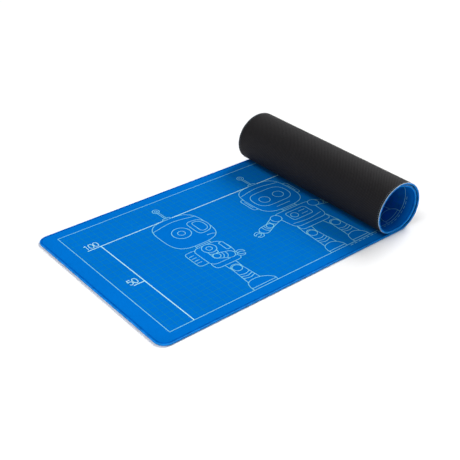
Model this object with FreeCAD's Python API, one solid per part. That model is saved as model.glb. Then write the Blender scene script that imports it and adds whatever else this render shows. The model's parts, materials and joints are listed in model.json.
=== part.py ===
import FreeCAD, Part
import os
from collections import namedtuple
from math import cos, degrees, radians, sin

os.makedirs("parts", exist_ok=True)

# A desk mat with one end rolled up: a printed cloth bonded to a rubber sheet, with thread round the edge.
# Millimetres. +X runs along the flat part towards the roll, +Y across the mat, and +Z up from the table.
# The origin is on the table, under the middle of the whole object's box.
#
# The curled part is cut into strips across the mat. Each strip has one radius and is tangent to its
# neighbours. It turns about the edge that its rubber's outer face shares with the strip before it.

MAT_LENGTH = 780.0  # along the rubber's outer face, unrolled
MAT_WIDTH = 300.0
RUBBER_THICKNESS = 2.4
CLOTH_THICKNESS = 0.6
CORNER_RADIUS = 16.0

THREAD_THICKNESS = 0.25
STITCH_WIDTH = 3.5  # how far the thread reaches in from the edge, on both faces

FLAT_RUN = 416.0  # from the flat free end to the crease, where the curl starts
MEAN_RADIUS = 38.0  # of the rubber's outer face over the first turn
LEAN = 5.5  # the first turn's radius is this much smaller at the table, and larger where it is upside down
LAYER_PITCH = 3.8  # from the flat part to the second turn above it, a little over the mat's thickness
RUN_BACK = 10.2  # where the second turn starts, the mat lies on the flat part for this length

FIRST_TURN_STRIPS = 18
STRIP_TURN = radians(360.0) / FIRST_TURN_STRIPS
SECOND_TURN_STRIPS = 8  # before the tail, which takes the rest of the mat's length
INNER_STRIP_TURN = radians(20.5)

MAT_THICKNESS = RUBBER_THICKNESS + CLOTH_THICKNESS
MID_DEPTH = MAT_THICKNESS / 2
# This much change of radius brings the first turn's end up by one pitch.
CLIMB = LAYER_PITCH / (FIRST_TURN_STRIPS * sin(STRIP_TURN / 2))

# x and z are where the strip starts on the rubber's outer face, and heading is its direction there.
Strip = namedtuple("Strip", "x z heading turn length")


def first_turn_radius(angle):
    """Radius of the rubber's outer face where the first turn has turned by this angle."""
    return MEAN_RADIUS - LEAN * cos(angle) + CLIMB * sin(angle)


def second_turn_radius(angle):
    """The same for the second turn, which doesn't lean and nests inside the first."""
    return MEAN_RADIUS - LAYER_PITCH + CLIMB * sin(angle)


def place(strip, distance, depth):
    """The point this far along a strip and this deep under its outer face, towards the cloth: x and z."""
    bend = strip.turn / strip.length
    heading = strip.heading + bend * distance
    if bend:
        x = strip.x + (sin(heading) - sin(strip.heading)) / bend
        z = strip.z - (cos(heading) - cos(strip.heading)) / bend
    else:
        x = strip.x + distance * cos(heading)
        z = strip.z + distance * sin(heading)
    return x - depth * sin(heading), z + depth * cos(heading)


def strip_sizes():
    """Turn and length of every strip from the crease to the inner end."""
    sizes = []
    for number in range(FIRST_TURN_STRIPS):
        radius = first_turn_radius((number + 0.5) * STRIP_TURN)
        sizes.append((STRIP_TURN, radius * STRIP_TURN))
    sizes.append((0.0, RUN_BACK))
    for number in range(SECOND_TURN_STRIPS):
        radius = second_turn_radius((number + 0.5) * INNER_STRIP_TURN)
        sizes.append((INNER_STRIP_TURN, radius * INNER_STRIP_TURN))
    tail_length = MAT_LENGTH - FLAT_RUN - sum(length for _, length in sizes)
    tail_radius = second_turn_radius((SECOND_TURN_STRIPS + 0.5) * INNER_STRIP_TURN)
    sizes.append((tail_length / tail_radius, tail_length))
    return sizes


def strips_from(crease_x):
    """The curl's strips, each starting where the one before it ends."""
    strips = []
    x, z, heading = crease_x, 0.0, 0.0
    for turn, length in strip_sizes():
        strips.append(Strip(x, z, heading, turn, length))
        x, z = place(strips[-1], length, 0.0)
        heading += turn
    return strips


# The widest point is in the middle of a strip, because four and a half strips make a quarter turn.
ROLL_REACH = max(place(strip, strip.length / 2, 0.0)[0] for strip in strips_from(0.0))
CREASE_X = (FLAT_RUN - ROLL_REACH) / 2
FLAT = Strip(CREASE_X - FLAT_RUN, 0.0, 0.0, 0.0, FLAT_RUN)
CURL = strips_from(CREASE_X)
TAIL = CURL[-1]


def corner_waste(strip, side, inset):
    """What rounding takes off one corner of the mat. side is -1 for the corner at -Y, 1 for that at +Y."""
    away = -1 if strip is FLAT else 1
    size = 2 * CORNER_RADIUS
    block = Part.makeBox(size, size, size, FreeCAD.Vector(0, 0, -size / 2))
    if away < 0:
        block.translate(FreeCAD.Vector(-size, 0, 0))
    if side < 0:
        block.translate(FreeCAD.Vector(0, -size, 0))
    round_part = Part.makeCylinder(CORNER_RADIUS - inset, size, FreeCAD.Vector(0, 0, -size / 2))
    waste = block.cut(round_part)
    half_length = strip.length / 2 - strip.turn / 2 * MID_DEPTH
    centre_x = away * (half_length - CORNER_RADIUS)
    centre_y = side * (MAT_WIDTH / 2 - CORNER_RADIUS)
    x, z = place(strip, strip.length / 2, MID_DEPTH)
    tilt = FreeCAD.Rotation(FreeCAD.Vector(0, 1, 0), -degrees(strip.heading + strip.turn / 2))
    strip_frame = FreeCAD.Placement(FreeCAD.Vector(x, 0, z), tilt)
    in_strip = FreeCAD.Placement(FreeCAD.Vector(centre_x, centre_y, 0), FreeCAD.Rotation())
    waste.Placement = strip_frame.multiply(in_strip)
    return waste


def layer(strip, low, high, inset):
    """The part of a strip between two depths, pulled in from the mat's own edges by inset."""
    start = inset if strip is FLAT else 0.0
    end = strip.length - (inset if strip is TAIL else 0.0)
    half_width = MAT_WIDTH / 2 - inset

    def corner(distance, depth):
        x, z = place(strip, distance, depth)
        return FreeCAD.Vector(x, -half_width, z)

    def side(depth, first, last):
        if not strip.turn:
            return Part.LineSegment(corner(first, depth), corner(last, depth)).toShape()
        middle = corner((first + last) / 2, depth)
        return Part.Arc(corner(first, depth), middle, corner(last, depth)).toShape()

    outline = Part.Wire([
        side(low, start, end),
        Part.LineSegment(corner(end, low), corner(end, high)).toShape(),
        side(high, end, start),
        Part.LineSegment(corner(start, high), corner(start, low)).toShape(),
    ])
    solid = Part.Face(outline).extrude(FreeCAD.Vector(0, 2 * half_width, 0))
    if strip in (FLAT, TAIL):
        solid = solid.cut([corner_waste(strip, side_sign, inset) for side_sign in (-1, 1)])
    return solid


def rubber(strip):
    """The rubber, thinner under the thread so that the thread lies flush."""
    under_cloth = layer(strip, THREAD_THICKNESS, RUBBER_THICKNESS, THREAD_THICKNESS)
    foot = layer(strip, 0.0, THREAD_THICKNESS, STITCH_WIDTH)
    return under_cloth.fuse(foot).removeSplitter().Solids[0]


def cloth(strip):
    """The cloth, thinner under the thread so that the thread lies flush."""
    thinned = MAT_THICKNESS - THREAD_THICKNESS
    on_rubber = layer(strip, RUBBER_THICKNESS, thinned, THREAD_THICKNESS)
    face = layer(strip, thinned, MAT_THICKNESS, STITCH_WIDTH)
    return on_rubber.fuse(face).removeSplitter().Solids[0]


def thread(strip):
    """The overlock thread, wrapped round the mat's edge from one face to the other."""
    edge = layer(strip, 0.0, MAT_THICKNESS, 0.0)
    core = layer(strip, THREAD_THICKNESS, MAT_THICKNESS - THREAD_THICKNESS, THREAD_THICKNESS)
    middle = layer(strip, 0.0, MAT_THICKNESS, STITCH_WIDTH)
    return edge.cut([core, middle])


def export(node, shape):
    shape.exportStep(f"parts/{node}.step")
    box = shape.BoundBox
    extent = f"x {box.XMin:.1f} to {box.XMax:.1f}, z {box.ZMin:.2f} to {box.ZMax:.2f}"
    print(f"{node}: {len(shape.Solids)} solids, {shape.Volume:.0f} mm3, {extent}, valid {shape.isValid()}")


def main():
    export("rubber_base", rubber(FLAT))
    export("printed_cloth", cloth(FLAT))
    export("edge_stitching", thread(FLAT))
    for number, strip in enumerate(CURL, 1):
        export(f"rubber_curl_{number:02d}", rubber(strip))
        export(f"cloth_curl_{number:02d}", Part.makeCompound([cloth(strip)] + thread(strip).Solids))


main()
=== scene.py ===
import json
from collections import namedtuple
from math import atan2, hypot, pi, radians, remainder

import bmesh
import bpy
import numpy as np
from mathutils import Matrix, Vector

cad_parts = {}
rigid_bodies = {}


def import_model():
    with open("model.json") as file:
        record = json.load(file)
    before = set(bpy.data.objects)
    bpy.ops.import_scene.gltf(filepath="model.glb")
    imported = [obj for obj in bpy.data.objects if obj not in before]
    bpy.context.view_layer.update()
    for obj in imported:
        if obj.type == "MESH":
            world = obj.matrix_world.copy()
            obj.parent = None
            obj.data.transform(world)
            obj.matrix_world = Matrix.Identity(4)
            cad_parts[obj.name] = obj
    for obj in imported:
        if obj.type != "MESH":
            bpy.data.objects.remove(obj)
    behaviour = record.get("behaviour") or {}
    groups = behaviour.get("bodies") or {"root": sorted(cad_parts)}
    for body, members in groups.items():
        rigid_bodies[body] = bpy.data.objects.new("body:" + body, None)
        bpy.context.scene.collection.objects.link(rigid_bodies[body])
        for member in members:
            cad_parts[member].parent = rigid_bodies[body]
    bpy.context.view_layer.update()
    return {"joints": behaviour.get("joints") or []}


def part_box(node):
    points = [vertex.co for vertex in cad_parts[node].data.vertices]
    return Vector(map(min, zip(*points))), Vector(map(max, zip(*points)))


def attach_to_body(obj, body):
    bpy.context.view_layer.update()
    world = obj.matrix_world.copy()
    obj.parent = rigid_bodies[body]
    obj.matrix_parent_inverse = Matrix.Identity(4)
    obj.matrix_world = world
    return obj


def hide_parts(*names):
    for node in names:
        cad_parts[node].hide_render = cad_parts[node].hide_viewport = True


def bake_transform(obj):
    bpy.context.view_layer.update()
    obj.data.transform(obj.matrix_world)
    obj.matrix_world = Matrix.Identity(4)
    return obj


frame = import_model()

# A desk mat with one end rolled up. Most of what follows works in mat coordinates, in millimetres: s runs
# along the mat from its flat free end, y across it from its middle line, and depth from the rubber's outer
# face through to the cloth's face. place() turns them into points in the CAD's frame, in metres.

MM = 0.001
JOINTS = sorted(frame["joints"], key=lambda joint: joint["name"])
BODIES = [JOINTS[0]["parent"]] + [joint["child"] for joint in JOINTS]
EDGE_LOW, EDGE_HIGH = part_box("edge_stitching")

MAT_LENGTH = 780.0  # unrolled; part.py's value
MAT_WIDTH = (EDGE_HIGH.y - EDGE_LOW.y) / MM
MAT_THICKNESS = (EDGE_HIGH.z - EDGE_LOW.z) / MM
JOIN_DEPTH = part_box("rubber_base")[1].z / MM  # where the cloth is bonded to the rubber
CORNER_RADIUS = 16.0  # part.py's value

LEAD_IN = 6.0  # how far before the crease the flat piece ends
TAIL_LEAD = 4.0  # how far into the last strip the tail piece starts
CURL_GAP = 1.1  # distance between stations along the curl
FLAT_GAP = 20.0  # and along the flat part

scene = bpy.context.scene
collection = scene.collection


# ---------------------------------------------------------------------------------------- camera


def add_camera():
    """Looks down at the mat from beyond the near corner of its flat end."""
    camera_data = bpy.data.cameras.new("camera")
    camera_data.lens = 67.78
    camera_data.sensor_width = 36.0
    camera = bpy.data.objects.new("camera", camera_data)
    camera.location = (-0.6611, -0.7998, 0.6502)
    camera.rotation_euler = (radians(58.061), radians(-0.284), radians(-39.426))
    collection.objects.link(camera)
    scene.camera = camera


# ------------------------------------------------------------------------------- shape of the mat

# A stretch of one curvature: where it starts along the mat and in the CAD's frame, its direction there, and
# how far it turns over its length.
Arc = namedtuple("Arc", "s x z heading turn length")


def read_arcs():
    """The flat part and the curl's strips, on the rubber's outer face, each tangent to the one before."""
    hinges = [(joint["pos_m"][0] / MM, joint["pos_m"][2] / MM) for joint in JOINTS]
    start_x = EDGE_LOW.x / MM
    arcs = [Arc(0.0, start_x, 0.0, 0.0, 0.0, hinges[0][0] - start_x)]
    s = arcs[0].length
    heading = 0.0
    for (x, z), (next_x, next_z) in zip(hinges, hinges[1:]):
        half_turn = remainder(atan2(next_z - z, next_x - x) - heading, 2 * pi)
        length = hypot(next_x - x, next_z - z) / float(np.sinc(half_turn / pi))
        arcs.append(Arc(s, x, z, heading, 2 * half_turn, length))
        s += length
        heading += 2 * half_turn
    tail_length = MAT_LENGTH - s
    tail_turn = tail_length * arcs[-1].turn / arcs[-1].length
    arcs.append(Arc(s, hinges[-1][0], hinges[-1][1], heading, tail_turn, tail_length))
    return arcs


ARCS = read_arcs()
ARC = Arc(*np.array(ARCS).T)  # the same, with an array of every arc's values in each field


def place(points):
    """Mat coordinates, one row a point, to the CAD's frame in metres."""
    s, y, depth = np.asarray(points, float).T
    number = np.clip(np.searchsorted(ARC.s, s, side="right") - 1, 0, len(ARCS) - 1)
    along = s - ARC.s[number]
    half_turn = ARC.turn[number] * along / ARC.length[number] / 2
    chord = along * np.sinc(half_turn / pi)
    middle = ARC.heading[number] + half_turn
    heading = middle + half_turn
    x = ARC.x[number] + chord * np.cos(middle) - depth * np.sin(heading)
    z = ARC.z[number] + chord * np.sin(middle) + depth * np.cos(heading)
    return np.column_stack([x, y, z]) * MM


# The mat is cut into pieces in the middle of each strip, so that each piece between the first and the last
# bends over one hinge.
CUTS = [0.0, ARCS[1].s - LEAD_IN]
CUTS += [arc.s + arc.length / 2 for arc in ARCS[1:-1]]
CUTS += [ARCS[-1].s + TAIL_LEAD, MAT_LENGTH]
LAST = len(CUTS) - 2


def piece_name(kind, number):
    suffix = {0: "flat", LAST: "tail"}.get(number, f"{number:02d}")
    return f"{kind}_{suffix}"


def outline_distance(s, y):
    """How far a point is inside the mat's rounded outline."""
    out_s = np.abs(s - MAT_LENGTH / 2) - (MAT_LENGTH / 2 - CORNER_RADIUS)
    out_y = np.abs(y) - (MAT_WIDTH / 2 - CORNER_RADIUS)
    outside = np.hypot(np.maximum(out_s, 0), np.maximum(out_y, 0))
    return CORNER_RADIUS - outside - np.minimum(np.maximum(out_s, out_y), 0)


def attach(piece, number):
    """Makes the first and last pieces ride on their bodies; the others stay where they are built."""
    if number in (0, LAST):
        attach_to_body(piece, BODIES[0] if number == 0 else BODIES[-1])
        return
    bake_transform(piece)


def add_piece(name, number, points, faces, materials, face_materials=None, sharp=35.0):
    """A mesh from mat coordinates, with those coordinates in metres as its UV map."""
    points = np.asarray(points, float)
    mesh = bpy.data.meshes.new(name)
    mesh.from_pydata(place(points).tolist(), [], faces)
    for material in materials:
        mesh.materials.append(material)
    if face_materials is not None:
        mesh.polygons.foreach_set("material_index", np.asarray(face_materials, np.int32))
    work = bmesh.new()
    work.from_mesh(mesh)
    bmesh.ops.recalc_face_normals(work, faces=work.faces)
    work.to_mesh(mesh)
    work.free()
    corners = np.zeros(len(mesh.loops), np.int32)
    mesh.loops.foreach_get("vertex_index", corners)
    uv = mesh.uv_layers.new(name="mat")
    uv.data.foreach_set("uv", (points[corners, :2] * MM).astype(np.float32).ravel())
    mesh.polygons.foreach_set("use_smooth", np.ones(len(mesh.polygons), bool))
    mesh.set_sharp_from_angle(angle=radians(sharp))
    piece = bpy.data.objects.new(name, mesh)
    collection.objects.link(piece)
    attach(piece, number)
    return piece


# ------------------------------------------------------------------------------- cloth and rubber

CORE_INSET = 0.35  # the laminate's own edge lies this far inside the thread
NEEDLE_INSET = 3.4  # and the needle's stitches this far
# Distance from the outline, and how far the face is pressed in there by the stitches.
PRESSED = np.array([
    (CORE_INSET, 0.75),
    (0.6, 0.52),
    (1.0, 0.42),
    (2.9, 0.38),
    (NEEDLE_INSET, 0.34),
    (3.9, 0.07),
    (4.6, 0.0),
])
CLOTH_EDGE = 0.05  # thickness left of the cloth at its own edge
CORNER_STATIONS = 13  # columns round a corner
BEYOND_PRESSED = [8.0, 11.0]  # more stations, as distances from the mat's ends
CLOSEST_STATIONS = 0.12  # a column nearer than this to another is left out
INNER_ROWS = np.linspace(-1, 1, 9)[1:-1]  # places across the face that the stitches leave alone
INNER_SPREAD = 0.96  # share of that face's half width that the places are measured in


def half_width(s):
    """Half the laminate's width at s, round its corners."""
    radius = CORNER_RADIUS - CORE_INSET
    past = np.maximum(np.abs(s - MAT_LENGTH / 2) - (MAT_LENGTH / 2 - CORNER_RADIUS), 0)
    past = np.minimum(past, radius)
    return MAT_WIDTH / 2 - CORNER_RADIUS + np.sqrt(radius ** 2 - past ** 2)


def stations(number):
    """Where a piece has its columns: close together in the curl and towards the mat's two ends."""
    start = max(CUTS[number], CORE_INSET)
    end = min(CUTS[number + 1], MAT_LENGTH - CORE_INSET)
    gap = CURL_GAP if number else FLAT_GAP
    marks = list(np.linspace(start, end, max(2, round((end - start) / gap)) + 1))
    angles = np.radians(np.linspace(0, 90, CORNER_STATIONS))
    from_end = list(CORE_INSET + (CORNER_RADIUS - CORE_INSET) * (1 - np.cos(angles)))
    from_end += list(PRESSED[:, 0]) + BEYOND_PRESSED
    for mark in from_end:
        marks += [mark, MAT_LENGTH - mark]
    marks = sorted(mark for mark in marks if start <= mark <= end)
    kept = [start]
    for mark in marks:
        if mark - kept[-1] > CLOSEST_STATIONS and end - mark > CLOSEST_STATIONS:
            kept.append(mark)
    return np.array(kept + [end])


def sheet_piece(kind, number, material):
    """One piece of the cloth or the rubber: a closed solid between its own face and the join."""
    columns = stations(number)
    insets = PRESSED[:, 0] - CORE_INSET
    rows = []
    for s in columns:
        width = half_width(s)
        side = width - insets
        middle = INNER_ROWS * (width - insets[-1]) * INNER_SPREAD
        rows.append(np.concatenate([-side, middle, side[::-1]]))
    rows = np.array(rows)
    row_count = rows.shape[1]
    s = np.repeat(columns, row_count)
    y = rows.ravel()
    press = np.interp(outline_distance(s, y), PRESSED[:, 0], PRESSED[:, 1])
    if kind == "cloth":
        face = np.maximum(MAT_THICKNESS - press, JOIN_DEPTH + CLOTH_EDGE)
    else:
        face = press
    points = np.concatenate([
        np.column_stack([s, y, face]),
        np.column_stack([s, y, np.full(len(s), JOIN_DEPTH)]),
    ])
    below = len(s)
    faces = []
    for column in range(len(columns) - 1):
        for row in range(row_count - 1):
            a = column * row_count + row
            b = a + row_count
            faces.append((a, a + 1, b + 1, b))
            faces.append((below + a, below + b, below + b + 1, below + a + 1))
        for row in (0, row_count - 1):
            a = column * row_count + row
            b = a + row_count
            faces.append((a, b, below + b, below + a))
    for column in (0, len(columns) - 1):
        for row in range(row_count - 1):
            a = column * row_count + row
            faces.append((a, below + a, below + a + 1, a + 1))
    return add_piece(piece_name(kind, number), number, points, faces, [material])


# -------------------------------------------------------------------------------------- stitching

STRAND_PITCH = 1.25
STRAND_HALF_WIDTH = 0.59
STRAND_HALF_HEIGHT = 0.18
STRAND_SLANT = 0.55  # how far aside each end of a strand lies from its middle
STRAND_OUTERMOST = 0.18  # how far inside the mat's outline a strand's middle passes
STRAND_JITTER = 0.06
RING = 6  # points round a thread
NEEDLE_PITCH = 3.0
NEEDLE_JITTER = 0.05
CLOTH_NEEDLE_HALF_LENGTH = 1.25
RUBBER_NEEDLE_HALF_LENGTH = 0.8
NEEDLE_HALF_WIDTH = 0.34

# The stitching's threads: on the cloth, round the edge, where the two lock, on the rubber, and the needle's
# on each face.
UPPER, EDGE, LOCK, LOWER, UPPER_NEEDLE, LOWER_NEEDLE = range(6)
RUBBER_SIDE_DEPTH = 0.33  # a strand's faces less deep than this are on the rubber's side
LOCK_REACH = 1.35  # how far in from the mat's outline the lock reaches there; its pale colour is a painted highlight
EDGE_REACH = 1.6  # and how far in the edge thread reaches on the cloth's side; its lighter colour is partly the thread's own and partly painted highlight
OUTLINE_SAMPLES = 31  # round each corner

# Half of a strand's path round the edge, starting on a face: distance from the outline, and from the face.
STRAND_PATH = np.array([(3.35, 0.22), (2.3, 0.19), (1.3, 0.2), (0.62, 0.42), (0.25, 0.9)])


def outline_samples(pitch):
    """Points round the mat's outline about a pitch apart, and the inward and sideways directions there."""
    quarter = np.radians(np.linspace(0, 90, OUTLINE_SAMPLES))
    long_side = MAT_LENGTH - CORNER_RADIUS
    half = MAT_WIDTH / 2 - CORNER_RADIUS
    centres = [(long_side, -half), (long_side, half), (CORNER_RADIUS, half), (CORNER_RADIUS, -half)]
    points, inward = [], []
    for turn, centre in enumerate(centres):
        angles = quarter + (turn - 1) * pi / 2
        outward = np.column_stack([np.cos(angles), np.sin(angles)])
        points.append(np.array(centre) + CORNER_RADIUS * outward)
        inward.append(-outward)
    points = np.concatenate(points + [points[0][:1]])
    inward = np.concatenate(inward + [inward[0][:1]])
    steps = np.hypot(*np.diff(points, axis=0).T)
    reached = np.concatenate([[0.0], np.cumsum(steps)])
    count = round(reached[-1] / pitch)
    wanted = (np.arange(count) + 0.5) * reached[-1] / count
    at = np.column_stack([np.interp(wanted, reached, values) for values in points.T])
    into = np.column_stack([np.interp(wanted, reached, values) for values in inward.T])
    into /= np.hypot(*into.T)[:, None]
    sideways = np.column_stack([into[:, 1], -into[:, 0]])
    return at, into, sideways


def tube_faces(rings):
    """Faces of a closed tube whose points go ring by ring."""
    faces = []
    for ring in range(rings - 1):
        for corner in range(RING):
            a = ring * RING + corner
            b = ring * RING + (corner + 1) % RING
            faces.append((a, b, b + RING, a + RING))
    faces.append(tuple(range(RING))[::-1])
    faces.append(tuple(range((rings - 1) * RING, rings * RING)))
    return faces


def strand_template():
    """One strand wrapped round the edge: distance inwards, depth and sideways place of each point."""
    top = np.column_stack([STRAND_PATH[:, 0], MAT_THICKNESS - STRAND_PATH[:, 1]])
    bottom = STRAND_PATH[::-1]
    path = np.concatenate([top, [(STRAND_OUTERMOST, MAT_THICKNESS / 2)], bottom])
    along = np.gradient(path, axis=0)
    along /= np.hypot(*along.T)[:, None]
    normal = np.column_stack([-along[:, 1], along[:, 0]])
    angles = np.arange(RING) * 2 * pi / RING
    height = STRAND_HALF_HEIGHT * np.sin(angles)
    inwards = path[:, :1] + normal[:, :1] * height
    depth = path[:, 1:] + normal[:, 1:] * height
    slant = np.linspace(-STRAND_SLANT, STRAND_SLANT, len(path))[:, None]
    sideways = slant + STRAND_HALF_WIDTH * np.cos(angles)
    return inwards, depth, sideways


def needle_template(depth_of_line, half_length):
    """One needle stitch, along the edge, thinner towards its ends."""
    shares = np.array([-1.0, -0.86, -0.45, 0.45, 0.86, 1.0])
    size = np.array([0.25, 0.75, 1.0, 1.0, 0.75, 0.25])[:, None]
    angles = np.arange(RING) * 2 * pi / RING
    inwards = NEEDLE_INSET + NEEDLE_HALF_WIDTH * size * np.cos(angles)
    depth = depth_of_line + STRAND_HALF_HEIGHT * size * np.sin(angles)
    sideways = np.repeat(shares[:, None] * half_length, RING, axis=1)
    return inwards, depth, sideways


def strand_thread(inwards, depth):
    """The thread that a strand shows at this distance from the outline and this depth."""
    if depth < RUBBER_SIDE_DEPTH:
        return LOCK if inwards < LOCK_REACH else LOWER
    return EDGE if inwards < EDGE_REACH else UPPER


def stitch_sets():
    """Every stitch's place along the mat, its points in mat coordinates, its faces and their threads."""
    random = np.random.default_rng(seed=11)
    top = needle_template(MAT_THICKNESS - STRAND_HALF_HEIGHT, CLOTH_NEEDLE_HALF_LENGTH)
    bottom = needle_template(STRAND_HALF_HEIGHT, RUBBER_NEEDLE_HALF_LENGTH)
    sets = []
    for pitch, template, jitter, thread in (
        (STRAND_PITCH, strand_template(), STRAND_JITTER, UPPER),
        (NEEDLE_PITCH, top, NEEDLE_JITTER, UPPER_NEEDLE),
        (NEEDLE_PITCH, bottom, NEEDLE_JITTER, LOWER_NEEDLE),
    ):
        inwards, depth, sideways = template
        faces = tube_faces(inwards.shape[0])
        depths = depth.ravel()
        threads = [thread] * len(faces)
        if thread == UPPER:
            threads = [
                strand_thread(inwards.ravel()[list(face)].mean(), depths[list(face)].mean())
                for face in faces
            ]
        for point, n, t in zip(*outline_samples(pitch)):
            shift, reach, width = random.normal(0, 1, 3) * jitter
            aside = (sideways * (1 + width / 2) + shift).ravel()
            inside_edge = (inwards * (1 + reach / NEEDLE_INSET)).ravel()
            s = point[0] + n[0] * inside_edge + t[0] * aside
            y = point[1] + n[1] * inside_edge + t[1] * aside
            sets.append((point[0], np.column_stack([s, y, depths]), faces, threads))
    return sets


def count_of(arrays):
    return sum(len(array) for array in arrays)


def add_stitching(materials):
    """The stitches as closed threads, one piece of them for each piece of the mat."""
    made = []
    sets = stitch_sets()
    for number in range(LAST + 1):
        points, faces, threads = [], [], []
        for s, stitch, stitch_faces, stitch_threads in sets:
            if CUTS[number] <= s < CUTS[number + 1] or number == LAST and s >= MAT_LENGTH:
                first = count_of(points)
                faces += [tuple(first + corner for corner in face) for face in stitch_faces]
                threads += stitch_threads
                points.append(stitch)
        name = piece_name("thread", number)
        points = np.concatenate(points)
        made.append(add_piece(name, number, points, faces, materials, threads, sharp=60))
    return made


# ------------------------------------------------------------------------------------------ print

GRID, LINE, SCALE, NUMERAL = range(4)
INK_WIDTH = {GRID: 0.55, LINE: 0.95, SCALE: 1.45, NUMERAL: 1.1}
INK_PROUD = {GRID: 0.03, LINE: 0.045, SCALE: 0.063, NUMERAL: 0.063}
INK_LEVELS = 7  # lines take turns at this many levels
INK_LEVEL = 0.002  # and a line is this much prouder for each
INK_SUNK = 0.02  # how deep a film reaches into the cloth
INK_STEP = 1.4  # the longest straight run of ink in the curl
MITRE_LIMIT = 0.55  # keeps the ink at a sharp bend from reaching out
SAME_POINT = 1e-4  # points of a line this close are one
LOOP_GAP = 1e-3  # a line whose ends are this close is a loop

# The grid and its frame. Near the flat end a scale stands on the frame, with marks at 50 and 100.
CELL = 10.52
CELLS_HIGH = 25
CELLS_LONG = 69
FRAME_S = 24.8
FRAME_MARGIN = 18.3  # from the mat's front edge
FRAME_Y = FRAME_MARGIN - MAT_WIDTH / 2
FRAME_END_S = FRAME_S + CELLS_LONG * CELL
FRAME_END_Y = FRAME_Y + CELLS_HIGH * CELL
SCALE_S = FRAME_S + 3.5 * CELL
MARK_100_Y = FRAME_Y + 20 * CELL
MARK_100_START_S = 41.0
MARK_100_END_GAP = 16.2
MARK_50_Y = FRAME_Y + 10 * CELL
MARK_50_START_S = 45.0
NUMERAL_HEIGHT = 10.7
NUMERAL_SPACING = 7.5
NUMERAL_LIFT = 3.0  # from a mark to its numerals
NUMERALS_100_S = 40.0
NUMERALS_50_S = 41.0

# The figures' middles.
FIRST_FIGURE_S = 173.5
FIGURE_PITCH = 161.0
FIGURES = 4

# Rows of plain dashes outside the frame.
DASH_ROWS_S = (330.0, 652.0)
DASHES = 9
DASH_PITCH = 8.0
DASH_LENGTH = 5.2
DASH_GAP = 3.1  # from the frame


def closed(outline):
    return np.concatenate([outline, outline[:1]])


def oval(u, v, width, height=None, power=2.0, count=48):
    """A closed outline: an ellipse, or with a higher power a box with rounded sides."""
    height = width if height is None else height
    angles = np.arange(count) * 2 * pi / count
    c, s = np.cos(angles), np.sin(angles)
    across = np.sign(c) * np.abs(c) ** (2 / power) * width / 2
    up = np.sign(s) * np.abs(s) ** (2 / power) * height / 2
    return np.column_stack([u + across, v + up])


def rounded(corners, radius, steps=6):
    """A polygon with rounded corners. Each takes a little under half of its shorter side at most."""
    corners = np.asarray(corners, float)
    outline = []
    for before, corner, after in zip(np.roll(corners, 1, 0), corners, np.roll(corners, -1, 0)):
        back, forth = before - corner, after - corner
        reach = min(radius, hypot(*back) / 2.01, hypot(*forth) / 2.01)
        start = corner + back / hypot(*back) * reach
        end = corner + forth / hypot(*forth) * reach
        for t in np.linspace(0, 1, steps):
            outline.append(start * (1 - t) ** 2 + corner * 2 * t * (1 - t) + end * t * t)
    return np.array(outline)


def box(u, v, width, height, radius):
    """A rectangle about a middle, with rounded corners."""
    return rounded([
        (u - width / 2, v - height / 2),
        (u + width / 2, v - height / 2),
        (u + width / 2, v + height / 2),
        (u - width / 2, v + height / 2),
    ], radius)


def limb(start, end, start_radius, end_radius):
    """A tapering capsule."""
    start, end = np.array(start, float), np.array(end, float)
    angle = atan2(*(end - start)[::-1])
    half = np.linspace(-pi / 2, pi / 2, 13) + angle
    far = end + end_radius * np.column_stack([np.cos(half), np.sin(half)])
    near = start - start_radius * np.column_stack([np.cos(half), np.sin(half)])
    return np.concatenate([far, near])


def smooth(points, steps=6):
    """An open curve through points."""
    points = np.asarray(points, float)
    padded_points = np.concatenate([[2 * points[0] - points[1]], points, [2 * points[-1] - points[-2]]])
    curve = []
    for p0, p1, p2, p3 in zip(padded_points, padded_points[1:], padded_points[2:], padded_points[3:]):
        for t in np.arange(steps) / steps:
            curve.append(0.5 * (
                2 * p1 + (p2 - p0) * t + (2 * p0 - 5 * p1 + 4 * p2 - p3) * t ** 2
                + (3 * p1 - p0 - 3 * p2 + p3) * t ** 3
            ))
    return np.array(curve + [points[-1]])


def inside(point, outline):
    """Whether an outline goes round a point."""
    x, y = point
    ax, ay = outline.T
    bx, by = np.roll(outline, -1, 0).T
    crosses = (ay > y) != (by > y)
    with np.errstate(divide="ignore", invalid="ignore"):
        at = ax + (y - ay) * (bx - ax) / (by - ay)
    return np.count_nonzero(crosses & (x < at)) % 2 == 1


def crossings(a, b, outline):
    """Where a straight run crosses an outline, as shares of its length."""
    p, q = outline, np.roll(outline, -1, 0)
    run, edge, gap = b - a, q - p, p - a
    cross = run[0] * edge[:, 1] - run[1] * edge[:, 0]
    with np.errstate(divide="ignore", invalid="ignore"):
        t = (gap[:, 0] * edge[:, 1] - gap[:, 1] * edge[:, 0]) / cross
        u = (gap[:, 0] * run[1] - gap[:, 1] * run[0]) / cross
    return sorted(t[(t > 0) & (t < 1) & (u >= 0) & (u < 1)])


def outside_runs(points, outline):
    """The runs of a line that lie outside an outline."""
    low, high = outline.min(0), outline.max(0)
    if (points.max(0) < low).any() or (points.min(0) > high).any():
        return [points]
    runs, run = [], []
    for a, b in zip(points, points[1:]):
        clear = (np.maximum(a, b) < low).any() or (np.minimum(a, b) > high).any()
        stops = [0.0, 1.0] if clear else [0.0, *crossings(a, b, outline), 1.0]
        for start, end in zip(stops, stops[1:]):
            if end - start < 1e-9:
                continue
            if not clear and inside(a + (b - a) * (start + end) / 2, outline):
                runs.append(run)
                run = []
                continue
            if not run:
                run = [a + (b - a) * start]
            run.append(a + (b - a) * end)
    runs.append(run)
    return [np.array(run) for run in runs if len(run) > 1]


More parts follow.
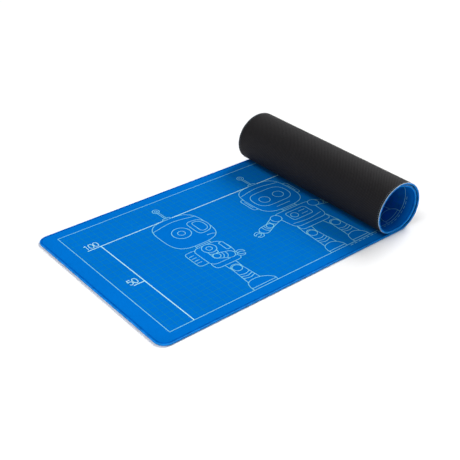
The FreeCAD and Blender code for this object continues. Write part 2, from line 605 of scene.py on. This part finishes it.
class Drawing:
    """Lines of ink. A shape hides what was drawn before it, inside its outline."""

    def __init__(self):
        self.lines = []
        self.drawn = 0

    def line(self, points, ink=LINE, level=None):
        """level sets how proud the ink is, so that films that cross seldom share a plane."""
        self.drawn += 1
        level = self.drawn % INK_LEVELS if level is None else level
        self.lines.append((np.asarray(points, float), ink, level))

    def shape(self, outline, ink=LINE):
        kept = []
        for points, line_ink, level in self.lines:
            kept += [(run, line_ink, level) for run in outside_runs(points, outline)]
        self.lines = kept
        self.line(closed(outline), ink)


class Figure:
    """Draws a figure that stands on the front frame line. u runs along the mat from the figure's middle, or
    back along it if facing is -1, and v runs up from its feet."""

    def __init__(self, drawing, middle_s, facing=1):
        self.drawing = drawing
        self.middle_s = middle_s
        self.facing = facing

    def put(self, points):
        """The figure's coordinates to s and y."""
        return np.asarray(points, float) * (self.facing, 1) + (self.middle_s, FRAME_Y)

    def shape(self, outline):
        self.drawing.shape(self.put(outline))

    def line(self, points):
        self.drawing.line(self.put(points))

    def ring(self, u, v, *widths):
        """Circles of these widths about one middle."""
        for width in widths:
            self.shape(oval(u, v, width, count=max(14, int(width * 1.6))))

    def across(self, start, end, half_widths, shares):
        """Bands across a limb."""
        start, end = np.array(start, float), np.array(end, float)
        along = (end - start) / hypot(*(end - start))
        normal = np.array([-along[1], along[0]])
        for share in shares:
            middle = start + (end - start) * share
            half = half_widths[0] + (half_widths[1] - half_widths[0]) * share
            bulge = along * half * 0.3
            ends = middle - normal * half, middle + normal * half
            self.line(smooth([ends[0], middle + bulge, ends[1]], 4))


ANTENNA_TOP = 239.0
HEAD_V = 170.0
HEAD_HEIGHT = 81.0


def draw_antenna(figure):
    figure.shape(box(0, 224, 2.8, 26, 1.2))
    figure.shape(box(0, 211, 13, 7, 2.5))
    figure.ring(0, ANTENNA_TOP, 10.5, 4.5)


def draw_leg(figure, u, boot_back, boot_front):
    """A leg with a banded shin and a round-toed boot."""
    figure.shape(limb((u * 0.86, 74), (u, 56), 9.5, 8.5))
    shin, radii = ((u, 54), (u, 18)), (8.0, 10.5)
    figure.shape(limb(*shin, *radii))
    figure.across(*shin, radii, shares=(0.42, 0.56, 0.7))
    figure.ring(u, 53, 14)
    sole = [(u + boot_back, 0.0), (u + boot_front, 0.0)]
    upper = smooth([
        (u + boot_front, 0), (u + boot_front, 8), (u + boot_front * 0.62, 17), (u, 20.5),
        (u + boot_back * 0.75, 17), (u + boot_back, 8), (u + boot_back, 0),
    ])
    figure.shape(np.concatenate([sole, upper[1:-1]]))
    figure.line([(u + boot_back, 4.5), (u + boot_front, 4.5)])


def draw_claw(figure, wrist, angle):
    """A round wrist with two curved fingers."""
    turn = np.array([[np.cos(angle), np.sin(angle)], [-np.sin(angle), np.cos(angle)]])
    for side in (-1, 1):
        finger = [(2, 2), (7, 7.5), (13.5, 6.5), (16, 1.5), (12, 3), (8.5, 3.2), (5, 0.2)]
        outline = rounded(np.array(finger) * (1, side) @ turn + wrist, 2.5, 4)
        figure.shape(outline)
    figure.ring(*wrist, 9.5)


def draw_arm(figure, shoulder, elbow, wrist):
    upper_radii, fore_radii = (7.5, 6.0), (6.0, 8.2)
    figure.shape(limb(shoulder, elbow, *upper_radii))
    figure.across(shoulder, elbow, upper_radii, shares=(0.62,))
    angle = atan2(wrist[1] - elbow[1], wrist[0] - elbow[0])
    draw_claw(figure, wrist, angle)
    cuff = np.array(elbow) + (np.array(wrist) - elbow) * 0.72
    figure.shape(limb(elbow, cuff, *fore_radii))
    figure.across(elbow, cuff, fore_radii, shares=(0.45, 0.75))
    figure.ring(*elbow, 11)


def draw_neck(figure, width):
    figure.shape(box(0, 127, width, 12, 3))
    figure.line([(-width / 2, 126.5), (width / 2, 126.5)])


def draw_front(figure, from_behind=False):
    draw_antenna(figure)
    for side in (-1, 1):
        draw_leg(figure, 23 * side, boot_back=-15, boot_front=15)
    for side in (-1, 1):
        draw_arm(figure, shoulder=(37 * side, 114), elbow=(57 * side, 105), wrist=(76 * side, 99))
    figure.shape(box(0, 76, 56, 17, 7))
    draw_neck(figure, 26)
    figure.shape(rounded([(-30, 77), (30, 77), (36, 123), (-36, 123)], 11))
    figure.ring(-37, 114, 17)
    figure.ring(37, 114, 17)
    if from_behind:
        figure.shape(box(0, 102, 44, 32, 7))
        figure.ring(-10, 104, 15, 10, 4)
        figure.ring(10, 104, 15, 10, 4)
        figure.line([(-15, 92), (15, 92)])
    else:
        figure.shape(box(0, 105, 38, 22, 5))
        figure.ring(-9, 105, 12)
        for v in (101, 109):
            figure.line([(2, v), (14, v)])
        figure.line(smooth([(-27, 88), (0, 84.5), (27, 88)]))
    for side in (-1, 1):
        figure.shape(box(40 * side, 168, 13, 34, 5))
        figure.line([(42.5 * side, 158), (42.5 * side, 178)])
    figure.shape(oval(0, HEAD_V, 80, HEAD_HEIGHT, power=3.4, count=88))
    if from_behind:
        figure.shape(box(0, 168, 46, 34, 9))
        for v in (158, 163, 168, 173, 178):
            figure.line([(-13, v), (13, v)])
        figure.line(smooth([(-36, 194), (0, 199), (36, 194)]))
    else:
        figure.shape(box(0, 168, 64, 40, 19))
        figure.ring(-13.5, 166, 17)
        figure.ring(13.5, 166, 17)
        figure.line(smooth([(-36, 194), (0, 200), (36, 194)]))
        figure.line([(-13, 139), (13, 139)])


def draw_side(figure):
    draw_antenna(figure)
    draw_leg(figure, 0.0, boot_back=-15, boot_front=25)
    figure.shape(box(0, 76, 44, 17, 7))
    draw_neck(figure, 24)
    figure.shape(box(-27, 103, 20, 36, 6))
    for v in (94, 100, 106, 112):
        figure.line([(-35, v), (-27, v)])
    figure.shape(rounded([(-22, 77), (21, 77), (27, 98), (22, 123), (-22, 123)], 11))
    figure.shape(box(21.5, 106, 7, 20, 2.5))
    draw_arm(figure, shoulder=(0, 112), elbow=(-3, 92), wrist=(19, 82))
    figure.ring(0, 113, 21, 9)
    figure.shape(oval(0, HEAD_V, 78, HEAD_HEIGHT, power=3.2, count=88))
    figure.shape(rounded([(13, 187), (36, 184), (41, 168), (36, 152), (13, 149)], 10))
    figure.shape(rounded([(20, 182), (33, 180), (36, 168), (33, 156), (20, 154)], 7))
    figure.line(smooth([(-36, 194), (0, 200), (36, 194)]))
    figure.line(smooth([(19, 142), (27, 141), (33, 138)]))
    figure.ring(-6, 168, 28, 11)


DIGITS = {
    "1": [[(1.6, 8.3), (4.0, NUMERAL_HEIGHT), (4.0, 0.0)]],
    "5": [
        [(6.0, NUMERAL_HEIGHT), (1.5, NUMERAL_HEIGHT), (1.0, 5.9)],
        smooth([(1.0, 5.9), (3.4, 6.9), (5.9, 5.8), (6.5, 3.4), (5.3, 0.8), (2.9, 0.0), (0.6, 1.3)]),
    ],
    "0": [closed(oval(3.5, NUMERAL_HEIGHT / 2, 6.2, NUMERAL_HEIGHT, power=2.4, count=28))],
}


def draw_number(drawing, digits, s, y):
    for position, digit in enumerate(digits):
        for points in DIGITS[digit]:
            drawing.line(np.asarray(points) + (s + position * NUMERAL_SPACING, y), NUMERAL)


def draw_print():
    """Every line of the print, flat. The figures hide the grid and the mark at 100 behind them."""
    drawing = Drawing()
    for row in range(1, CELLS_HIGH):
        y = FRAME_Y + row * CELL
        drawing.line([(FRAME_S, y), (FRAME_END_S, y)], GRID, 0)
    for column in range(CELLS_LONG):
        s = FRAME_S + (column + 0.5) * CELL
        drawing.line([(s, FRAME_Y), (s, FRAME_END_Y)], GRID, 1)
    mark_100 = [(MARK_100_START_S, MARK_100_Y), (FRAME_END_S - MARK_100_END_GAP, MARK_100_Y)]
    drawing.line(mark_100, SCALE)
    middles = [FIRST_FIGURE_S + FIGURE_PITCH * number for number in range(FIGURES)]
    draw_side(Figure(drawing, middles[0]))
    draw_front(Figure(drawing, middles[1]))
    draw_side(Figure(drawing, middles[2], facing=-1))
    draw_front(Figure(drawing, middles[3]), from_behind=True)
    frame_corners = [
        (FRAME_S, FRAME_Y), (FRAME_END_S, FRAME_Y), (FRAME_END_S, FRAME_END_Y), (FRAME_S, FRAME_END_Y),
    ]
    drawing.line(closed(np.array(frame_corners)), LINE, INK_LEVELS)
    drawing.line([(SCALE_S, FRAME_Y), (SCALE_S, MARK_100_Y)], SCALE)
    drawing.line([(MARK_50_START_S, MARK_50_Y), (SCALE_S, MARK_50_Y)], SCALE)
    draw_number(drawing, "100", NUMERALS_100_S, MARK_100_Y + NUMERAL_LIFT)
    draw_number(drawing, "50", NUMERALS_50_S, MARK_50_Y + NUMERAL_LIFT)
    for first_s in DASH_ROWS_S:
        for dash in range(DASHES):
            s = first_s + DASH_PITCH * dash
            drawing.line([(s, FRAME_Y - DASH_GAP), (s + DASH_LENGTH, FRAME_Y - DASH_GAP)])
    return drawing.lines


def by_piece(points):
    """Cuts a line where the pieces meet, adds points to it in the curl, and gives each piece's runs."""
    fine = [points[0]]
    for a, b in zip(points, points[1:]):
        low, high = sorted((a[0], b[0]))
        shares = [(cut - a[0]) / (b[0] - a[0]) for cut in CUTS if low < cut < high]
        stops = sorted([0.0, 1.0] + shares)
        for start, end in zip(stops, stops[1:]):
            p, q = a + (b - a) * start, a + (b - a) * end
            curled = max(p[0], q[0]) > CUTS[1] + 1e-6
            steps = max(1, int(np.ceil(abs(q[0] - p[0]) / INK_STEP))) if curled else 1
            fine += [p + (q - p) * (step + 1) / steps for step in range(steps)]
    runs = {}
    run, number = [fine[0]], None
    for a, b in zip(fine, fine[1:]):
        here = min(max(int(np.searchsorted(CUTS, (a[0] + b[0]) / 2, side="right")) - 1, 0), LAST)
        if number is not None and here != number:
            runs.setdefault(number, []).append(run)
            run = [a]
        run.append(b)
        number = here
    runs.setdefault(number, []).append(run)
    return runs


def ribbon(points, width):
    """The two sides of a line of ink, mitred at its bends."""
    points = np.array(points)
    keep = np.concatenate([[True], np.hypot(*np.diff(points, axis=0).T) > SAME_POINT])
    points = points[keep]
    if len(points) < 2:
        return None
    along = np.diff(points, axis=0)
    along /= np.hypot(*along.T)[:, None]
    is_loop = np.hypot(*(points[0] - points[-1])) < LOOP_GAP and len(points) > 3
    before = np.concatenate([along[-1:] if is_loop else along[:1], along])
    after = np.concatenate([along, along[:1] if is_loop else along[-1:]])
    bisector = before + after
    bisector /= np.maximum(np.hypot(*bisector.T), 1e-6)[:, None]
    normal = np.column_stack([-bisector[:, 1], bisector[:, 0]])
    stretch = 1 / np.maximum((bisector * after).sum(1), MITRE_LIMIT)
    offset = normal * (stretch * width / 2)[:, None]
    return points + offset, points - offset


def add_print(materials):
    """The ink as thin closed films on the cloth, one piece for each piece of the mat that has any."""
    parts = {number: ([], [], []) for number in range(LAST + 1)}
    for line, ink, level in draw_print():
        proud = INK_PROUD[ink] + INK_LEVEL * level
        for number, runs in by_piece(line).items():
            points, faces, inks = parts[number]
            for run in runs:
                sides = ribbon(run, INK_WIDTH[ink])
                if sides is None:
                    continue
                count = len(sides[0])
                first = count_of(points)
                for depth in (MAT_THICKNESS + proud, MAT_THICKNESS - INK_SUNK):
                    for side in sides:
                        points.append(np.column_stack([side, np.full(count, depth)]))
                left, right, low_left, low_right = (first + count * part for part in range(4))
                made = []
                for n in range(count - 1):
                    made.append((left + n, right + n, right + n + 1, left + n + 1))
                    made.append((low_left + n, low_left + n + 1, low_right + n + 1, low_right + n))
                    made.append((left + n, left + n + 1, low_left + n + 1, low_left + n))
                    made.append((right + n, low_right + n, low_right + n + 1, right + n + 1))
                for n in (0, count - 1):
                    made.append((left + n, low_left + n, low_right + n, right + n))
                faces += made
                inks += [ink] * len(made)
    pieces = []
    for number, (points, faces, inks) in parts.items():
        if not points:
            pieces.append(None)
            continue
        name = piece_name("print", number)
        points = np.concatenate(points)
        pieces.append(add_piece(name, number, points, faces, materials, inks))
    return pieces


# -------------------------------------------------------------------------------------- materials


class Nodes:
    """A material's node tree, with short ways to add to it."""

    def __init__(self, name, roughness, **settings):
        self.material = bpy.data.materials.new(name)
        self.material.use_nodes = True
        self.tree = self.material.node_tree
        self.shader = self.tree.nodes["Principled BSDF"]
        self.shader.inputs["Roughness"].default_value = roughness
        for socket, value in settings.items():
            self.shader.inputs[socket.replace("_", " ")].default_value = value
        uv = self.tree.nodes.new("ShaderNodeUVMap")
        uv.uv_map = "mat"
        self.uv = uv.outputs["UV"]

    def link(self, source, target):
        self.tree.links.new(source, target)

    def node(self, kind, inputs=(), **settings):
        node = self.tree.nodes.new(kind)
        for key, value in settings.items():
            setattr(node, key, value)
        for socket, value in dict(inputs).items():
            if isinstance(value, bpy.types.NodeSocket):
                self.link(value, node.inputs[socket])
            else:
                node.inputs[socket].default_value = value
        return node

    def maths(self, operation, a, b=0.0, c=0.0):
        return self.node("ShaderNodeMath", {0: a, 1: b, 2: c}, operation=operation).outputs[0]

    def turned(self, angle, scale):
        """The mat's coordinates turned and scaled."""
        mapping = self.node("ShaderNodeMapping", {"Vector": self.uv})
        mapping.inputs["Rotation"].default_value = (0, 0, angle)
        mapping.inputs["Scale"].default_value = (scale, scale, scale)
        return mapping.outputs["Vector"]

    def noise(self, scale, detail):
        inputs = {"Vector": self.uv, "Scale": scale, "Detail": detail}
        return self.node("ShaderNodeTexNoise", inputs).outputs["Fac"]

    def cross_wave(self, per_metre, angle=0.0, ratio=1.0):
        """Small bumps on a grid: two waves at right angles. ratio is the second's count to the first's."""
        axes = self.node("ShaderNodeSeparateXYZ", {0: self.turned(angle, per_metre * 2 * pi)})
        first = self.maths("SINE", axes.outputs["X"])
        second = self.maths("SINE", self.maths("MULTIPLY", axes.outputs["Y"], ratio))
        return self.maths("MULTIPLY_ADD", self.maths("MULTIPLY", first, second), 0.5, 0.5)

    def ramp(self, factor, *stops):
        """Maps a factor to a colour. Each stop is a position and a colour."""
        node = self.node("ShaderNodeValToRGB", {"Fac": factor})
        elements = node.color_ramp.elements
        while len(elements) < len(stops):
            elements.new(0.5)
        for element, (position, colour) in zip(elements, stops):
            element.position = position
            element.color = (*colour, 1.0)
        return node.outputs["Color"]

    def mix(self, factor, a, b):
        node = self.node("ShaderNodeMix", data_type="RGBA")
        for socket, value in ((node.inputs[0], factor), (node.inputs[6], a), (node.inputs[7], b)):
            if isinstance(value, bpy.types.NodeSocket):
                self.link(value, socket)
            else:
                socket.default_value = (*value, 1.0) if hasattr(value, "__len__") else value
        return node.outputs[2]

    def colour(self, source):
        self.link(source, self.shader.inputs["Base Color"])

    def rough(self, factor, low, high):
        node = self.node("ShaderNodeMapRange", {"Value": factor, "To Min": low, "To Max": high})
        self.link(node.outputs["Result"], self.shader.inputs["Roughness"])

    def bump(self, *layers):
        """Each layer is a height, a distance in metres and a strength."""
        normal = None
        for height, distance, strength in layers:
            inputs = {"Height": height, "Distance": distance, "Strength": strength}
            node = self.node("ShaderNodeBump", inputs)
            if normal is not None:
                self.link(normal, node.inputs["Normal"])
            normal = node.outputs["Normal"]
        self.link(normal, self.shader.inputs["Normal"])


# The waves in a metre of each pattern, and the knit's other direction's share of them.
KNIT_PER_METRE = 1300.0
KNIT_RATIO = 0.72
GRIP_PER_METRE = 330.0
TWIST_PER_METRE = 1500.0
TWIST_ANGLE = 0.9  # radians


def scaled(colour, factor):
    return tuple(channel * factor for channel in colour)


def printed_material(name, dye, roughness, variation=0.06):
    """Close polyester knit with a dye in it, which varies by this share."""
    nodes = Nodes(name, roughness, Sheen_Weight=0.1, Sheen_Roughness=0.5, Specular_IOR_Level=0.0)
    nodes.shader.inputs["Sheen Tint"].default_value = (*dye, 1.0)
    knit = nodes.cross_wave(KNIT_PER_METRE, ratio=KNIT_RATIO)
    blotches = nodes.noise(scale=9.0, detail=4.0)
    slub = nodes.noise(scale=260.0, detail=2.0)
    base = nodes.ramp(
        blotches,
        (0.25, scaled(dye, 1 - variation)),
        (0.75, scaled(dye, 1 + variation)),
    )
    threads = nodes.mix(nodes.maths("MULTIPLY", knit, 0.42), base, scaled(dye, 0.5))
    nodes.colour(nodes.mix(nodes.maths("MULTIPLY", slub, 0.18), threads, scaled(dye, 1.18)))
    nodes.rough(slub, roughness - 0.06, roughness + 0.06)
    nodes.bump((knit, 0.00016, 0.8), (slub, 0.00014, 0.5))
    return nodes.material


def rubber_material():
    """Matt black rubber with a fine grip pattern, paler on its bumps."""
    colour = (0.0118, 0.0111, 0.0119)
    nodes = Nodes("rubber", 0.7, Specular_IOR_Level=0.12)
    grip = nodes.cross_wave(GRIP_PER_METRE)
    smears = nodes.noise(scale=14.0, detail=5.0)
    grain = nodes.noise(scale=900.0, detail=2.0)
    base = nodes.ramp(smears, (0.3, scaled(colour, 0.8)), (0.72, scaled(colour, 1.25)))
    worn = nodes.ramp(grip, (0.45, (0.0, 0.0, 0.0)), (1.0, (1.0, 1.0, 1.0)))
    dusty = nodes.mix(nodes.maths("MULTIPLY", worn, 0.8), base, scaled(colour, 3.6))
    nodes.colour(nodes.mix(nodes.maths("MULTIPLY", grain, 0.3), dusty, scaled(colour, 0.7)))
    nodes.rough(smears, 0.6, 0.76)
    nodes.bump((grip, 0.0003, 1.0), (grain, 0.00008, 0.5))
    return nodes.material


def thread_material(name, colour, specular):
    """Polyester thread with its twist."""
    nodes = Nodes(name, 0.42, Specular_IOR_Level=specular)
    twist = nodes.cross_wave(TWIST_PER_METRE, angle=TWIST_ANGLE)
    shade = nodes.noise(scale=120.0, detail=2.0)
    base = nodes.ramp(shade, (0.3, scaled(colour, 0.8)), (0.7, scaled(colour, 1.2)))
    nodes.colour(nodes.mix(nodes.maths("MULTIPLY", twist, 0.35), base, scaled(colour, 0.5)))
    nodes.rough(shade, 0.36, 0.5)
    nodes.bump((twist, 0.00008, 0.6))
    return nodes.material


def floor_material():
    """Pale paper."""
    nodes = Nodes("floor", 0.85, Specular_IOR_Level=0.1)
    paper = nodes.node("ShaderNodeTexNoise", {"Scale": 40.0, "Detail": 3.0}).outputs["Fac"]
    nodes.colour(nodes.ramp(paper, (0.3, (0.93, 0.93, 0.93)), (0.7, (0.96, 0.96, 0.96))))
    return nodes.material


# -------------------------------------------------------------------------------- floor and light

FLOOR_REACH = 4.0
FLOOR_DROP = 0.0003  # keeps the floor's face clear of the rubber's


def add_floor():
    corners = [(-FLOOR_REACH, -FLOOR_REACH, 0), (FLOOR_REACH, -FLOOR_REACH, 0)]
    corners += [(FLOOR_REACH, FLOOR_REACH, 0), (-FLOOR_REACH, FLOOR_REACH, 0)]
    mesh = bpy.data.meshes.new("floor")
    mesh.from_pydata(corners, [], [(0, 1, 2, 3)])
    mesh.materials.append(floor_material())
    floor = bpy.data.objects.new("floor", mesh)
    floor.location.z = -FLOOR_DROP
    collection.objects.link(floor)


def aim(light_data, name, location, target):
    """Puts a light at a place, shining at a target."""
    light = bpy.data.objects.new(name, light_data)
    light.location = location
    light.rotation_euler = (Vector(target) - Vector(location)).to_track_quat("-Z", "Y").to_euler()
    collection.objects.link(light)


def add_distant(name, location, spread, strength, colour):
    """Soft light from this side, as even as a large, distant panel's. spread is in degrees."""
    light_data = bpy.data.lights.new(name, "SUN")
    light_data.angle = radians(spread)
    light_data.energy = strength
    light_data.color = colour
    aim(light_data, name, location, (0.0, 0.0, 0.0))


def add_panel(name, location, target, size, power):
    """A square panel close to the mat."""
    light_data = bpy.data.lights.new(name, "AREA")
    light_data.size = size
    light_data.energy = power
    aim(light_data, name, location, target)


def add_lights():
    world = bpy.data.worlds.new("studio")
    world.use_nodes = True
    background = world.node_tree.nodes["Background"]
    background.inputs["Color"].default_value = (0.96, 0.98, 1.02, 1.0)
    background.inputs["Strength"].default_value = 0.25
    scene.world = world
    add_distant("key", (-0.9, -0.1, 1.7), spread=30.0, strength=1.0, colour=(1.0, 0.99, 0.97))
    add_distant("side", (1.5, 0.3, 1.3), spread=30.0, strength=2.9, colour=(1.0, 1.0, 1.0))
    add_panel("front", (-0.95, -0.25, 0.28), target=(-0.2, 0.0, 0.0), size=0.3, power=1.8)
    scene.view_settings.view_transform = "Standard"


# ------------------------------------------------------------------------------------------- main


def main():
    add_camera()
    cloth_material = printed_material("printed_cloth", (0.0004, 0.165, 0.62), 0.72)
    inks = [
        printed_material("ink_grid", (0.008, 0.22, 0.42), 0.72, 0.1),
        printed_material("ink_line", (0.22, 0.63, 0.8), 0.68, 0.05),
        printed_material("ink_scale", (0.46, 0.83, 0.9), 0.66, 0.04),
    ]
    inks.append(inks[SCALE])  # the numerals' ink
    rubber = rubber_material()
    threads = add_stitching([
        thread_material("thread_upper", (0.0004, 0.13, 0.56), 0.0),
        # the edge thread's lighter azure: partly its own colour, partly a painted highlight on the edge's
        # rounding
        thread_material("thread_edge_and_painted_highlight", (0.003, 0.27, 0.82), 0.1),
        # the lock thread's pale colour is a painted highlight along the rim's rounding
        thread_material("thread_lock_painted_highlight", (0.6, 0.7, 0.75), 0.3),
        thread_material("thread_lower", (0.009, 0.0085, 0.009), 0.1),
        # the cloth-side needle thread's dark colour is painted shade of the groove it lies in
        thread_material("thread_upper_needle_painted_shade", (0.0003, 0.07, 0.4), 0.0),
        thread_material("thread_lower_needle", (0.16, 0.2, 0.24), 0.3),
    ])
    prints = add_print(inks)
    for number in range(LAST + 1):
        strip = min(number, LAST - 1)  # the last two pieces share the last strip's nodes
        cloth_node = f"cloth_curl_{strip:02d}" if number else "printed_cloth"
        rubber_node = f"rubber_curl_{strip:02d}" if number else "rubber_base"
        thread_node = cloth_node if number else "edge_stitching"
        rubber_piece = sheet_piece("rubber", number, rubber)
        cloth_piece = sheet_piece("cloth", number, cloth_material)
        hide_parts(rubber_node)
        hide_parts(cloth_node)
        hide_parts(thread_node)
    add_floor()
    add_lights()


main()
